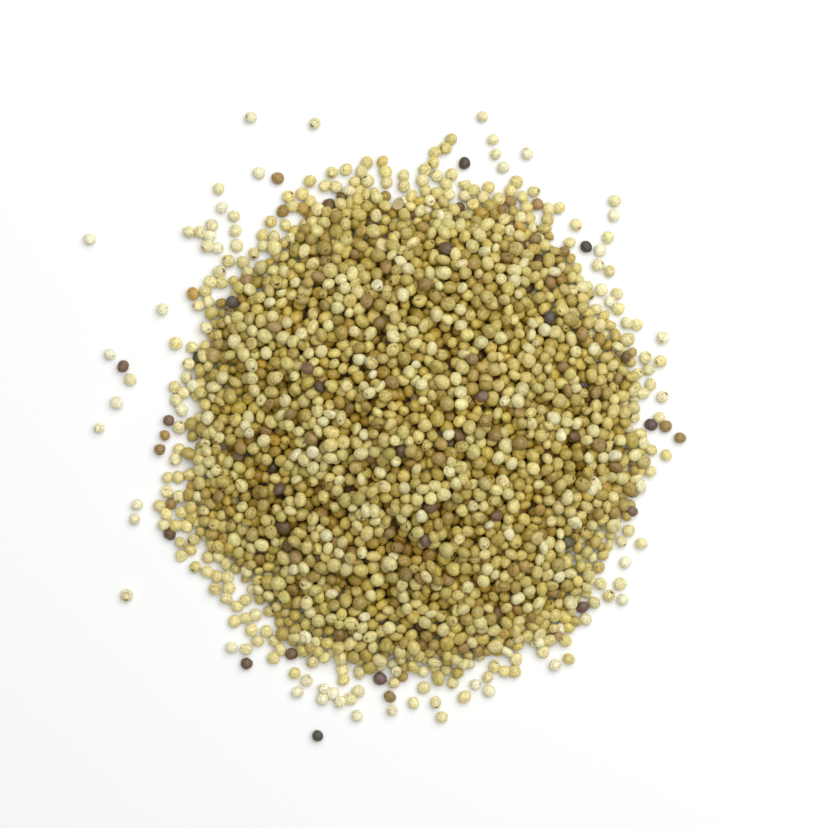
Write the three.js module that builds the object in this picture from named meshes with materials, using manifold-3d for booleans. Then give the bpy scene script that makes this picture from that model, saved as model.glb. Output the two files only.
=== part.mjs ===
// A loose heap of hulled kodo millet on a flat surface, with single grains scattered round it.
// Units are millimetres, +Z is up, and the origin lies on the surface under the middle of the heap.
//
// The heap is one solid: a domed core with a bump for each grain of its top layer, joined with the
// grains that lie along its foot and with the loose ones on top. A clump is a few grains that lie
// apart from the heap but touch each other, and it is one solid too. Every stray grain is its own.

import * as THREE from "three";
import { mergeVertices } from "three/addons/utils/BufferGeometryUtils.js";
import Module from "manifold-3d";

const wasm = await Module();
wasm.setup();

// One grain, nearly round from above and a little flattened.
const GRAIN_WIDTH = 1.96;
const GRAIN_HEIGHT = 1.5;
const GRAIN_VARIATION = 0.06;

// Grains that are joined overlap a little: this is the distance between their centres.
const JOINED_PITCH = 0.83 * GRAIN_WIDTH;

// The heap's outline is nearly round, with lobes: [number round the outline, size, crest bearing].
const HEAP_RADIUS = 36.1;
const OUTLINE_LOBES = [
  [2, 1.04, -87],
  [4, 0.26, 22],
  [6, 0.28, 4],
  [7, 0.44, 0],
  [8, 0.41, 16],
  [9, 0.4, -12],
  [10, 0.41, -13],
  [11, 0.27, 12],
];

// The heap's height, the depth of its foot, and the share of the radius that its round top takes.
const HEAP_HEIGHT = 12.4;
const FOOT_HEIGHT = 0.85;
const CROWN_SHARE = 0.45;

// Broad swells in the heap's surface: [height, wavelength, bearing, phase in turns].
const SWELLS = [
  [0.35, 27, 35, 0.2],
  [0.25, 17, 110, 0.65],
  [0.2, 12.5, -20, 0.4],
];

// The relief of the top layer: every third point of the ring lattice is the top of a grain.
const LATTICE_RINGS = 28;
const BUMP_RISE = 0.45;
const GAP_DEPTH = 0.38;
const HEIGHT_SCATTER = 0.16;
const PLACE_SCATTER = 0.2;
const EDGE_SCALLOP = 0.35;
const UNDERCUT = 0.35;

// How many grains lie along the foot in each equal sector, anticlockwise from +X.
const FOOT_GRAINS = [
  4, 4, 4, 4, 9, 14, 9, 7, 6, 6, 2, 5, 5, 11, 8, 7, 4, 3, 2, 4, 3, 2, 2, 2,
];
const FOOT_TRIES = 2;
const FOOT_OVERHANG = 0.45;
const CLEAR_OF_STRAYS = 2.45;

// Loose grains that lie on top of the heap.
const TOP_GRAINS = 20;
const TOP_REACH = 0.9;
const TOP_SUNK = 0.6;
const TOP_TILT = 0.5;

// Clumps: the first grain's place, then each next grain as [grain it touches, bearing from it].
const CLUMPS = [
  {
    start: [-33.8, 30.2],
    next: [
      [0, 0],
      [1, -20],
      [2, 79],
      [2, 256],
      [4, -8],
    ],
  },
  {
    start: [-13.6, -38.1],
    next: [
      [0, 264],
      [0, -28],
      [2, -52],
      [3, 15],
      [4, 45],
    ],
  },
];

// Stray grains by kind, each with its place on the surface.
const STRAYS = {
  pale: [
    [37.2, 14.4],
    [29.0, 29.4],
    [30.0, 34.9],
    [29.9, 32.7],
    [27.8, 27.5],
    [27.5, 25.3],
    [16.9, 42.0],
    [11.8, 44.1],
    [12.2, 41.9],
    [13.3, 39.9],
    [10.2, 47.5],
    [-14.9, 46.5],
    [-24.5, 47.4],
    [-23.3, 39.1],
    [-29.3, 36.7],
    [-28.8, 33.9],
    [-27.0, 32.6],
    [-26.8, 30.4],
    [-26.6, 28.2],
    [-48.6, 29.2],
    [-37.7, 18.7],
    [-45.6, 11.9],
    [-42.6, 8.1],
    [-44.6, 4.7],
    [-47.2, 0.9],
    [-43.1, -24.2],
    [-41.5, -10.6],
    [-41.9, -12.8],
    [-27.4, -32.0],
    [-25.2, -32.2],
    [-16.1, -36.9],
    [-17.5, -38.7],
    [-8.6, -42.2],
    [-3.3, -41.4],
    [-0.1, -40.3],
    [3.2, -40.2],
    [4.1, -42.4],
    [9.2, -37.5],
    [11.2, -38.5],
    [21.1, -34.6],
    [31.2, -24.8],
    [30.8, -22.5],
    [31.6, -19.2],
  ],
  tan: [
    [-20.5, 38.3],
    [-37.4, -0.2],
    [-38.1, -2.3],
    [39.8, -0.6],
  ],
  brown: [
    [-43.6, 10.1],
    [-36.8, 2.0],
    [-25.1, -34.4],
  ],
  dark: [
    [25.7, 28.0],
    [7.5, 40.5],
    [-14.5, -45.2],
  ],
};

const COLORS = {
  heap: 0xa8965c,
  pale: 0xd9cf9a,
  tan: 0xb0854a,
  brown: 0x80493a,
  dark: 0x4a4743,
};
const ROUGHNESS = 0.55;

const DEGREE = Math.PI / 180;
const FULL_TURN = 2 * Math.PI;
const GOLDEN_ANGLE = Math.PI * (3 - Math.sqrt(5));
const MICROMETRE = 1e-3;

// A repeatable random number from 0 to 1 for each whole number.
function draw(index) {
  const value = Math.sin((index + 1) * 12.9898) * 43758.5453;
  return value - Math.floor(value);
}

// The same, spread evenly from -1 to 1.
function scatter(index) {
  return 2 * draw(index) - 1;
}

// First numbers of the random draws, one run for each use.
const DRAWS = {
  lattice: 0,
  foot: 20000,
  grain: 30000,
  top: 40000,
};

// The grains of the heap are numbered from 0, and those apart from it from here.
const FIRST_GRAIN_APART = 500;

function edgeRadius(bearing) {
  return OUTLINE_LOBES.reduce(
    (radius, [count, size, crest]) =>
      radius + size * Math.cos(count * (bearing - crest * DEGREE)),
    HEAP_RADIUS,
  );
}

// 1 in the middle and 0 at the outline: a cone whose point is rounded off.
function domeShare(reach) {
  const fall = Math.hypot(reach, CROWN_SHARE) - CROWN_SHARE;
  return 1 - fall / (Math.hypot(1, CROWN_SHARE) - CROWN_SHARE);
}

function swellHeight(x, y) {
  return SWELLS.reduce((height, [size, wavelength, bearing, phase]) => {
    const along = x * Math.cos(bearing * DEGREE) + y * Math.sin(bearing * DEGREE);
    return height + size * Math.cos(FULL_TURN * (along / wavelength + phase));
  }, 0);
}

// How far out a place lies, from 0 in the middle to 1 at the outline. The lobes only show near the foot.
function reachShare(x, y) {
  const reach = Math.hypot(x, y);
  const edge = edgeRadius(Math.atan2(y, x));
  const outward = Math.min(1, reach / edge);
  return Math.min(1, reach / (HEAP_RADIUS + (edge - HEAP_RADIUS) * outward * outward));
}

// The mean height of the heap's surface.
function surfaceHeight(x, y) {
  const reach = reachShare(x, y);
  const dome = (HEAP_HEIGHT - FOOT_HEIGHT) * domeShare(reach);
  return FOOT_HEIGHT + dome + swellHeight(x, y) * (1 - reach * reach);
}

// The lattice is a triangular grid in rings: each ring has six sides, and each side runs along one
// of these steps, counted in two of the grid's directions.
const SIDES = [
  [1, 0],
  [0, 1],
  [-1, 1],
  [-1, 0],
  [0, -1],
  [1, -1],
];

// The number of points in one ring of the lattice, and the number inside it.
function ringCount(ring) {
  return ring === 0 ? 1 : SIDES.length * ring;
}

function ringStart(ring) {
  return ring === 0 ? 0 : 1 + (SIDES.length * ring * (ring - 1)) / 2;
}

// Whether a point of the lattice is the top of a grain: one point in three is, and its six
// neighbours are the gaps round it.
function isBump(ring, place) {
  if (ring === 0) return true;
  const side = Math.floor(place / ring);
  const [cornerA, cornerB] = SIDES[side];
  const [stepA, stepB] = SIDES[(side + 2) % SIDES.length];
  const diagonal = ring * (cornerA - cornerB) + (place % ring) * (stepA - stepB);
  return diagonal % 3 === 0;
}

// One point of the core's upper surface.
function latticePoint(ring, place) {
  const index = DRAWS.lattice + 3 * (ringStart(ring) + place);
  const bump = isBump(ring, place);
  const bearing = (FULL_TURN * place) / ringCount(ring);
  const pitch = edgeRadius(bearing) / LATTICE_RINGS;
  const scallop = bump ? EDGE_SCALLOP : -EDGE_SCALLOP;
  const outward = ring === LATTICE_RINGS ? scallop : 0;
  const reach = ring * pitch + outward + scatter(index) * PLACE_SCATTER * pitch;
  const turn = ring === 0 ? 0 : (scatter(index + 1) * PLACE_SCATTER * pitch) / reach;
  const x = reach * Math.cos(bearing + turn);
  const y = reach * Math.sin(bearing + turn);
  const relief = bump ? BUMP_RISE : -GAP_DEPTH;
  const height = surfaceHeight(x, y) + relief + scatter(index + 2) * HEIGHT_SCATTER;
  return new THREE.Vector3(x, y, height);
}

// The core: the lattice on top, a wall that leans in to the surface below, and a flat underside.
function coreGeometry() {
  const points = [];
  const faces = [];
  for (let ring = 0; ring <= LATTICE_RINGS; ring += 1) {
    for (let place = 0; place < ringCount(ring); place += 1) {
      points.push(latticePoint(ring, place));
    }
  }
  for (let ring = 1; ring <= LATTICE_RINGS; ring += 1) {
    const outer = (place) => ringStart(ring) + (place % ringCount(ring));
    const inner = (place) => ringStart(ring - 1) + (place % ringCount(ring - 1));
    for (let side = 0; side < SIDES.length; side += 1) {
      for (let along = 0; along < ring; along += 1) {
        const out = side * ring + along;
        const within = side * (ring - 1) + along;
        faces.push(outer(out), outer(out + 1), inner(within));
        if (along < ring - 1) faces.push(outer(out + 1), inner(within + 1), inner(within));
      }
    }
  }
  const around = ringCount(LATTICE_RINGS);
  const rim = ringStart(LATTICE_RINGS);
  const foot = points.length;
  for (let place = 0; place < around; place += 1) {
    const top = points[rim + place];
    const inward = 1 - UNDERCUT / Math.hypot(top.x, top.y);
    points.push(new THREE.Vector3(top.x * inward, top.y * inward, 0));
  }
  const middle = points.length;
  points.push(new THREE.Vector3(0, 0, 0));
  for (let place = 0; place < around; place += 1) {
    const next = (place + 1) % around;
    faces.push(rim + place, foot + place, foot + next);
    faces.push(rim + place, foot + next, rim + next);
    faces.push(middle, foot + next, foot + place);
  }
  const geometry = new THREE.BufferGeometry().setFromPoints(points);
  geometry.setIndex(faces);
  return geometry;
}

// A unit grain: twenty faces, one of them flat on the surface, in a box 1 wide, long and high.
function unitGrain() {
  const geometry = new THREE.IcosahedronGeometry(1, 0);
  geometry.deleteAttribute("normal");
  geometry.deleteAttribute("uv");
  const corners = [0, 1, 2].map((corner) =>
    new THREE.Vector3().fromBufferAttribute(geometry.attributes.position, corner),
  );
  const facing = new THREE.Vector3().add(corners[0]).add(corners[1]).add(corners[2]);
  const down = new THREE.Vector3(0, 0, -1);
  const turn = new THREE.Quaternion().setFromUnitVectors(facing.normalize(), down);
  geometry.applyQuaternion(turn);
  geometry.computeBoundingBox();
  const size = geometry.boundingBox.getSize(new THREE.Vector3());
  geometry.scale(1 / size.x, 1 / size.y, 1 / size.z);
  return mergeVertices(geometry, MICROMETRE);
}

const UNIT_GRAIN = unitGrain();

// The grain with this number, resting on the surface at its own origin.
function grainGeometry(number) {
  const index = DRAWS.grain + 3 * number;
  const width = GRAIN_WIDTH * (1 + GRAIN_VARIATION * scatter(index));
  const height = GRAIN_HEIGHT * (1 + GRAIN_VARIATION * scatter(index + 1));
  return UNIT_GRAIN.clone()
    .rotateZ(FULL_TURN * draw(index + 2))
    .scale(width, width, height)
    .translate(0, 0, height / 2);
}

function roundToMicrometre(geometry) {
  const { array } = geometry.attributes.position;
  array.forEach((value, index) => {
    array[index] = Math.round(value / MICROMETRE) * MICROMETRE;
  });
  return geometry;
}

function toSolid(geometry) {
  const rounded = roundToMicrometre(geometry);
  return new wasm.Manifold(
    new wasm.Mesh({
      numProp: 3,
      vertProperties: new Float32Array(rounded.attributes.position.array),
      triVerts: new Uint32Array(rounded.index.array),
    }),
  );
}

function toGeometry(solid) {
  const { vertProperties, triVerts } = solid.getMesh();
  const geometry = new THREE.BufferGeometry();
  geometry.setAttribute("position", new THREE.BufferAttribute(vertProperties, 3));
  geometry.setIndex(new THREE.BufferAttribute(triVerts, 1));
  return geometry;
}

// The biggest body of a solid, without any scrap that touches nothing.
function biggestBody(solid) {
  const bodies = solid.decompose();
  return bodies.reduce((biggest, body) => (body.volume() > biggest.volume() ? body : biggest));
}

// The places of a clump's grains, each against an earlier one.
function clumpPlaces({ start, next }) {
  return next.reduce(
    (places, [touched, bearing]) => {
      const [x, y] = places[touched];
      const across = JOINED_PITCH * Math.cos(bearing * DEGREE);
      const up = JOINED_PITCH * Math.sin(bearing * DEGREE);
      return [...places, [x + across, y + up]];
    },
    [start],
  );
}

const CLUMP_PLACES = CLUMPS.map(clumpPlaces);
const PLACES_APART = [...CLUMP_PLACES.flat(), ...Object.values(STRAYS).flat()];

// How far out a grain that comes in along a bearing stops against one that lies at this place.
function stopAgainst([x, y], bearing) {
  const along = x * Math.cos(bearing) + y * Math.sin(bearing);
  const aside = y * Math.cos(bearing) - x * Math.sin(bearing);
  const gap = JOINED_PITCH * JOINED_PITCH - aside * aside;
  return gap > 0 ? along + Math.sqrt(gap) : 0;
}

// Where a grain that comes in along this bearing ends up among the grains that already lie there.
function footPlace(places, bearing) {
  const stops = places.map((place) => stopAgainst(place, bearing));
  const reach = Math.max(edgeRadius(bearing) + FOOT_OVERHANG, ...stops);
  return [reach * Math.cos(bearing), reach * Math.sin(bearing)];
}

function isClearOfStrays([x, y]) {
  return PLACES_APART.every(
    ([otherX, otherY]) => Math.hypot(otherX - x, otherY - y) > CLEAR_OF_STRAYS,
  );
}

// The places of the grains along the foot. Each grain comes in along a bearing of its sector and
// stops where it meets the outline or a grain that already lies there. Of a few such tries, those
// that crowd a grain apart from the heap are dropped, and the one that gets in furthest is kept.
function footPlaces() {
  const places = [];
  let tries = 0;
  FOOT_GRAINS.forEach((count, sector) => {
    const wanted = places.length + count;
    while (places.length < wanted) {
      const bearings = Array.from({ length: FOOT_TRIES }, (_, round) => {
        const turn = (sector + draw(DRAWS.foot + tries + round)) / FOOT_GRAINS.length;
        return FULL_TURN * turn;
      });
      tries += FOOT_TRIES;
      const found = bearings
        .map((bearing) => footPlace(places, bearing))
        .filter(isClearOfStrays)
        .sort((first, second) => Math.hypot(...first) - Math.hypot(...second));
      places.push(...found.slice(0, 1));
    }
  });
  return places;
}

// Loose grains on top, spread evenly like the seeds of a sunflower, each tilted its own way.
function topGrains(firstNumber) {
  return Array.from({ length: TOP_GRAINS }, (_, index) => {
    const bearing = index * GOLDEN_ANGLE;
    const share = TOP_REACH * Math.sqrt((index + 0.5) / TOP_GRAINS);
    const reach = share * edgeRadius(bearing);
    const x = reach * Math.cos(bearing);
    const y = reach * Math.sin(bearing);
    return grainGeometry(firstNumber + index)
      .rotateX(TOP_TILT * scatter(DRAWS.top + 2 * index))
      .rotateY(TOP_TILT * scatter(DRAWS.top + 2 * index + 1))
      .translate(x, y, surfaceHeight(x, y) - TOP_SUNK);
  });
}

function joined(solids) {
  return solids.reduce((sum, solid) => sum.add(solid));
}

function heapGeometry() {
  const foot = footPlaces().map(([x, y], number) => grainGeometry(number).translate(x, y, 0));
  const grains = [...foot, ...topGrains(foot.length)].map(toSolid);
  return toGeometry(biggestBody(joined([toSolid(coreGeometry()), ...grains])));
}

function material(kind) {
  return new THREE.MeshStandardMaterial({
    color: COLORS[kind],
    roughness: ROUGHNESS,
    metalness: 0,
    flatShading: true,
  });
}

function namedMesh(name, geometry, kind) {
  const mesh = new THREE.Mesh(geometry, material(kind));
  mesh.name = name;
  return mesh;
}

function twoDigits(number) {
  return String(number).padStart(2, "0");
}

const group = new THREE.Group();
group.add(namedMesh("millet_heap", heapGeometry(), "heap"));

let grainNumber = FIRST_GRAIN_APART;
CLUMP_PLACES.forEach((places, index) => {
  const grains = places.map(([x, y]) => {
    grainNumber += 1;
    return toSolid(grainGeometry(grainNumber).translate(x, y, 0));
  });
  const name = `grain_clump_${twoDigits(index + 1)}`;
  group.add(namedMesh(name, toGeometry(joined(grains)), "pale"));
});

Object.entries(STRAYS).forEach(([kind, places]) => {
  places.forEach(([x, y], index) => {
    grainNumber += 1;
    const name = `stray_${kind}_grain_${twoDigits(index + 1)}`;
    const mesh = namedMesh(name, grainGeometry(grainNumber), kind);
    mesh.position.set(x, y, 0);
    group.add(mesh);
  });
});

export default group;
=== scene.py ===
# The looks of a loose heap of hulled kodo millet on a pale surface, with single grains round
# it.
#
# The heap is a layer of grains on the floor, a core over it painted warm dark brown as shade,
# and a shell of grains that settles onto both in layers. The grains along the foot, in the
# clumps and apart from the heap lie where the frame has them, and some more lie near the foot.
# Grains are placed in millimetres, and the meshes are in metres.
import math
from dataclasses import dataclass, fields
from typing import NamedTuple

import bpy
import numpy as np
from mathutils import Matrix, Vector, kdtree


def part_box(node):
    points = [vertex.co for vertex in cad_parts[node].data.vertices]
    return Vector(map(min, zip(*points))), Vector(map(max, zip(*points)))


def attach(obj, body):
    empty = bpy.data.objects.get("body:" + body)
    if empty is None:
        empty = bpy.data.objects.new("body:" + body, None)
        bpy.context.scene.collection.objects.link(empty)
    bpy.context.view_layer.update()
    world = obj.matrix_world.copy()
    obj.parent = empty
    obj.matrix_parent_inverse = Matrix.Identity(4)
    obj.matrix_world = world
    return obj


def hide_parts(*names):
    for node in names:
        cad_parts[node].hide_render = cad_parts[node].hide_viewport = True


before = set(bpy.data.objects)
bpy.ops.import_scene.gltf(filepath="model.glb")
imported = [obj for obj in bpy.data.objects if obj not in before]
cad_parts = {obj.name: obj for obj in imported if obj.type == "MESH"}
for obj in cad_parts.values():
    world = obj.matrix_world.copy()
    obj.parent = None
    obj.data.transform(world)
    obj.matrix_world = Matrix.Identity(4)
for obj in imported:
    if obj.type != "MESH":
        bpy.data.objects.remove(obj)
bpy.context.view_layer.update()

MM = 0.001
FULL_TURN = 2 * math.pi
GOLDEN_ANGLE = math.pi * (3 - math.sqrt(5))
GOLDEN_RATIO = (1 + math.sqrt(5)) / 2
PLASTIC_RATIO = 1.32471795724

# ---------------------------------------------------------------------------------------------
# The frame's own sizes, in millimetres and degrees. The outline and the dome are the heap's in
# the frame.

GRAIN_WIDTH = 1.96
GRAIN_HEIGHT = 1.5
GRAIN_VARIATION = 0.06
JOINED_PITCH = 0.83 * GRAIN_WIDTH

HEAP_RADIUS = 36.1
# How many lobes, their size and the bearing of a crest.
OUTLINE_LOBES = [
    (2, 1.04, -87),
    (4, 0.26, 22),
    (6, 0.28, 4),
    (7, 0.44, 0),
    (8, 0.41, 16),
    (9, 0.4, -12),
    (10, 0.41, -13),
    (11, 0.27, 12),
]
HEAP_HEIGHT = 12.4
FOOT_HEIGHT = 0.85
CROWN_SHARE = 0.45
# The size, wavelength, bearing and phase of each swell of the surface.
SWELLS = [(0.35, 27, 35, 0.2), (0.25, 17, 110, 0.65), (0.2, 12.5, -20, 0.4)]

FOOT_GRAINS = [4, 4, 4, 4, 9, 14, 9, 7, 6, 6, 2, 5, 5, 11, 8, 7, 4, 3, 2, 4, 3, 2, 2, 2]
FOOT_TRIES = 2
FOOT_OVERHANG = 0.45
CLEAR_OF_STRAYS = 2.45
TOP_GRAINS = 20
TOP_REACH = 0.9
TOP_SUNK = 0.6
TOP_TILT = 0.3
# Where a clump starts, and for each further grain which one it touches, and at what bearing.
CLUMPS = {
    "grain_clump_01": ((-33.8, 30.2), [(0, 0), (1, -20), (2, 79), (2, 256), (4, -8)]),
    "grain_clump_02": ((-13.6, -38.1), [(0, 264), (0, -28), (2, -52), (3, 15), (4, 45)]),
}
FIRST_GRAIN_APART = 500
# Where each run of the frame's repeatable numbers starts, and how they are made.
DRAWS = {"foot": 20000, "grain": 30000}
DRAW_STEP = 12.9898
DRAW_SPREAD = 43758.5453

# ---------------------------------------------------------------------------------------------
# What the scene adds: how many more grains lie near the foot in each of the same equal
# sectors, the layer on the floor, and the layers of the shell. In millimetres.

SEED = 4592
FIELD_REACH = HEAP_RADIUS + 3

MORE_FOOT_GRAINS = [1, 1, 1, 1, 2, 3, 3, 2, 2, 2, 1, 1, 1, 3, 3, 2, 1, 1, 1, 1, 1, 1, 1, 1]
MORE_FOOT_REACH = 2.7
MORE_FOOT_APART = 1.85
MORE_FOOT_TRIES = 400

LYING_SHARE = 0.985
LYING_WIDTHS = (0.86, 0.99)
FLOOR_FILL = 0.74
FLOOR_INSET = 1.35
FLOOR_SPREAD = 0.3
FLOOR_WIDTHS = (1.7, 1.84)
FLOOR_APART = 1.84
FLOOR_ROUNDS = 24

LOOSE_SIZE = (2.0, 1.84, 1.5)
LENGTHS = (0.95, 1.08)
WIDTHS = (0.86, 1.03)
HEIGHTS = (0.9, 1.1)
SIZE_SPREAD = 0.11
SIZE_LIMITS = (-2.4, 2)
SLIM_SHARE = 0.15
SLIM_WIDTH = 0.78
LOOSE_TILT = 0.9
SHELL_DEPTH = 3.9
RIM_FILL = 1.1
RIM_FALL = 6

# Each layer fills the shell between two depths, spread by this much more and filled this much.
POURS = [
    (3.9, 2.7, 0.25, 0.62),
    (2.7, 1.8, 0.25, 0.62),
    (1.8, 0.9, 0.8, 0.58),
    (0.9, 0.0, 1.6, 0.24),
]
POUR_TESTS = 20000
POUR_SPARE = 8
POUR_HEIGHTS = (0.2, 1.6)
OUTLINE_INSET = 0.8
SETTLE_STEPS = 60
SETTLE_PUSHES = 3
SETTLE_SPEED = 0.12
SETTLE_REST = 0.85
HIGHEST = 0.8
CEILING = 12.95
PUSH_SHARE = 0.36
NEIGHBOUR_STEPS = 4
NEIGHBOUR_RANGE = 2.35

SLOPE_STEP = 0.2
SLOPE_REACH = 0.98
TINY = 1e-9


def draw(index):
    """The frame's repeatable random number from 0 to 1 for each whole number."""
    value = math.sin((index + 1) * DRAW_STEP) * DRAW_SPREAD
    return value - math.floor(value)


def scatter(index):
    """The same, spread evenly from -1 to 1."""
    return 2 * draw(index) - 1


def edge_radius(bearing):
    radius = HEAP_RADIUS
    for count, size, crest in OUTLINE_LOBES:
        radius = radius + size * np.cos(count * (bearing - math.radians(crest)))
    return radius


def reach_share(x, y):
    """How far out a place lies, from 0 in the middle of the heap to 1 at its outline."""
    reach = np.hypot(x, y)
    edge = edge_radius(np.arctan2(y, x))
    outward = np.minimum(1, reach / edge)
    return np.minimum(1, reach / (HEAP_RADIUS + (edge - HEAP_RADIUS) * outward**2))


def surface_height(x, y):
    """The mean height of the heap's surface."""
    reach = reach_share(x, y)
    fall = np.hypot(reach, CROWN_SHARE) - CROWN_SHARE
    dome = 1 - fall / (math.hypot(1, CROWN_SHARE) - CROWN_SHARE)
    swell = 0
    for size, wavelength, bearing, phase in SWELLS:
        along = x * math.cos(math.radians(bearing)) + y * math.sin(math.radians(bearing))
        swell = swell + size * np.cos(FULL_TURN * (along / wavelength + phase))
    return FOOT_HEIGHT + (HEAP_HEIGHT - FOOT_HEIGHT) * dome + swell * (1 - reach**2)


def surface_normal(x, y):
    """Which way the heap's surface faces. Past the outline the slope of the rim goes on."""
    step = SLOPE_STEP
    inward = SLOPE_REACH / np.maximum(1, np.hypot(x, y) / edge_radius(np.arctan2(y, x)))
    x, y = x * inward, y * inward
    slope_x = (surface_height(x + step, y) - surface_height(x - step, y)) / (2 * step)
    slope_y = (surface_height(x, y + step) - surface_height(x, y - step)) / (2 * step)
    normal = np.stack([-slope_x, -slope_y, np.ones_like(slope_x)], axis=-1)
    return normal / np.linalg.norm(normal, axis=-1, keepdims=True)


# ---------------------------------------------------------------------------------------------
# Grains as arrays.


@dataclass
class Grains:
    """Several grains: their middles, half sizes and turns, and whether each lies still."""

    place: np.ndarray
    half: np.ndarray
    turn: np.ndarray
    still: np.ndarray

    def __len__(self):
        return len(self.place)

    def only(self, chosen):
        return Grains(*(getattr(self, field.name)[chosen] for field in fields(self)))


def together(*groups):
    names = [field.name for field in fields(Grains)]
    lists = ([getattr(group, name) for group in groups] for name in names)
    return Grains(*(np.concatenate(values) for values in lists))


def rotation_z(angle):
    c, s, o, i = np.cos(angle), np.sin(angle), np.zeros_like(angle), np.ones_like(angle)
    return np.stack([c, -s, o, s, c, o, o, o, i], axis=-1).reshape(-1, 3, 3)


def rotation_x(angle):
    c, s, o, i = np.cos(angle), np.sin(angle), np.zeros_like(angle), np.ones_like(angle)
    return np.stack([i, o, o, o, c, -s, o, s, c], axis=-1).reshape(-1, 3, 3)


def rotation_to(normal):
    """The turns that take straight up to each normal the short way."""
    x, y, z = normal.T
    k = 1 / (1 + z)
    rows = [1 - k * x * x, -k * x * y, x, -k * x * y, 1 - k * y * y, y, -x, -y, z]
    return np.stack(rows, axis=-1).reshape(-1, 3, 3)


def turns(rng, count, tilt):
    """Random turns. The short side of a grain points up or down, give or take the tilt."""
    yaw = rng.uniform(0, FULL_TURN, count)
    lean = np.abs(rng.normal(0, tilt, count)) if tilt else np.zeros(count)
    lean = np.where(rng.random(count) < 0.5, lean, math.pi - lean)
    spin = rng.uniform(0, FULL_TURN, count)
    return rotation_z(spin) @ rotation_x(lean) @ rotation_z(yaw)


def lying_grains(rng, places, widths, heights):
    """Grains that lie flat on the floor at these places."""
    count = len(places)
    length = LYING_SHARE * widths / 2
    half = np.stack([length, length * rng.uniform(*LYING_WIDTHS, count), heights / 2], axis=-1)
    place = np.column_stack([places, heights / 2])
    return Grains(place, half, turns(rng, count, 0), np.ones(count, bool))


def numbered_sizes(first, count):
    """The widths and heights of the frame's grains with these numbers."""
    index = [DRAWS["grain"] + 3 * number for number in range(first, first + count)]
    widths = [GRAIN_WIDTH * (1 + GRAIN_VARIATION * scatter(i)) for i in index]
    heights = [GRAIN_HEIGHT * (1 + GRAIN_VARIATION * scatter(i + 1)) for i in index]
    return np.array(widths), np.array(heights)


# ---------------------------------------------------------------------------------------------
# Places of the grains that lie still.


def is_clear(place, others, distance):
    return all(math.hypot(x - place[0], y - place[1]) > distance for x, y in others)


def clump_places(start, steps):
    places = [start]
    for touched, bearing in steps:
        x, y = places[touched]
        angle = math.radians(bearing)
        places.append((x + JOINED_PITCH * math.cos(angle), y + JOINED_PITCH * math.sin(angle)))
    return places


def node_grain(node):
    """The place, width and height of a stray grain of the frame."""
    low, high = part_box(node)
    middle = (low + high) / 2 / MM
    size = (high - low) / MM
    return (middle.x, middle.y), min(size.x, size.y), size.z


def stop_against(place, bearing):
    """How far out a grain that comes in along a bearing stops against one at this place."""
    along = place[0] * math.cos(bearing) + place[1] * math.sin(bearing)
    aside = place[1] * math.cos(bearing) - place[0] * math.sin(bearing)
    gap = JOINED_PITCH**2 - aside**2
    return along + math.sqrt(gap) if gap > 0 else 0


def foot_places(apart):
    """The frame's places along the foot. Each grain comes in along a bearing of its sector and
    stops at the outline or at a grain that already lies there. The nearest of its tries counts,
    clear of the grains apart."""
    places = []
    tries = 0
    for sector, count in enumerate(FOOT_GRAINS):
        wanted = len(places) + count
        while len(places) < wanted:
            found = []
            for turn in range(FOOT_TRIES):
                share = sector + draw(DRAWS["foot"] + tries + turn)
                bearing = FULL_TURN * share / len(FOOT_GRAINS)
                stops = [stop_against(place, bearing) for place in places]
                reach = max([edge_radius(bearing) + FOOT_OVERHANG, *stops])
                found.append((reach * math.cos(bearing), reach * math.sin(bearing)))
            tries += FOOT_TRIES
            found = [place for place in found if is_clear(place, apart, CLEAR_OF_STRAYS)]
            places += sorted(found, key=lambda place: math.hypot(*place))[:1]
    return places


def more_foot_places(rng, lying):
    """More places near the foot, each anywhere that is clear of all that lies there."""
    places = []
    for sector, count in enumerate(MORE_FOOT_GRAINS):
        wanted = len(places) + count
        for _ in range(MORE_FOOT_TRIES):
            if len(places) == wanted:
                break
            bearing = FULL_TURN * (sector + rng.random()) / len(MORE_FOOT_GRAINS)
            reach = edge_radius(bearing) + FOOT_OVERHANG + MORE_FOOT_REACH * rng.random()
            place = (reach * math.cos(bearing), reach * math.sin(bearing))
            if is_clear(place, lying + places, MORE_FOOT_APART):
                places.append(place)
    return places


def top_places():
    """Loose grains on top, spread evenly like the seeds of a sunflower."""
    places = []
    for index in range(TOP_GRAINS):
        bearing = index * GOLDEN_ANGLE
        reach = TOP_REACH * math.sqrt((index + 0.5) / TOP_GRAINS) * edge_radius(bearing)
        places.append((reach * math.cos(bearing), reach * math.sin(bearing)))
    return np.array(places)


def close_pairs(places, distance):
    """Which places lie closer to each other than this."""
    tree = kdtree.KDTree(len(places))
    for index, place in enumerate(places):
        tree.insert(place, index)
    tree.balance()
    pairs = [
        (index, other)
        for index, place in enumerate(places)
        for _, other, _ in tree.find_range(place, distance)
        if other > index
    ]
    return np.array(pairs).T


def even_points(count):
    """Points that fill the square evenly, by steps of an irrational size each way."""
    steps = np.array([1 / PLASTIC_RATIO, 1 / PLASTIC_RATIO**2])
    return (0.5 + np.outer(np.arange(1, count + 1), steps)) % 1 * 2 - 1


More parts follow.
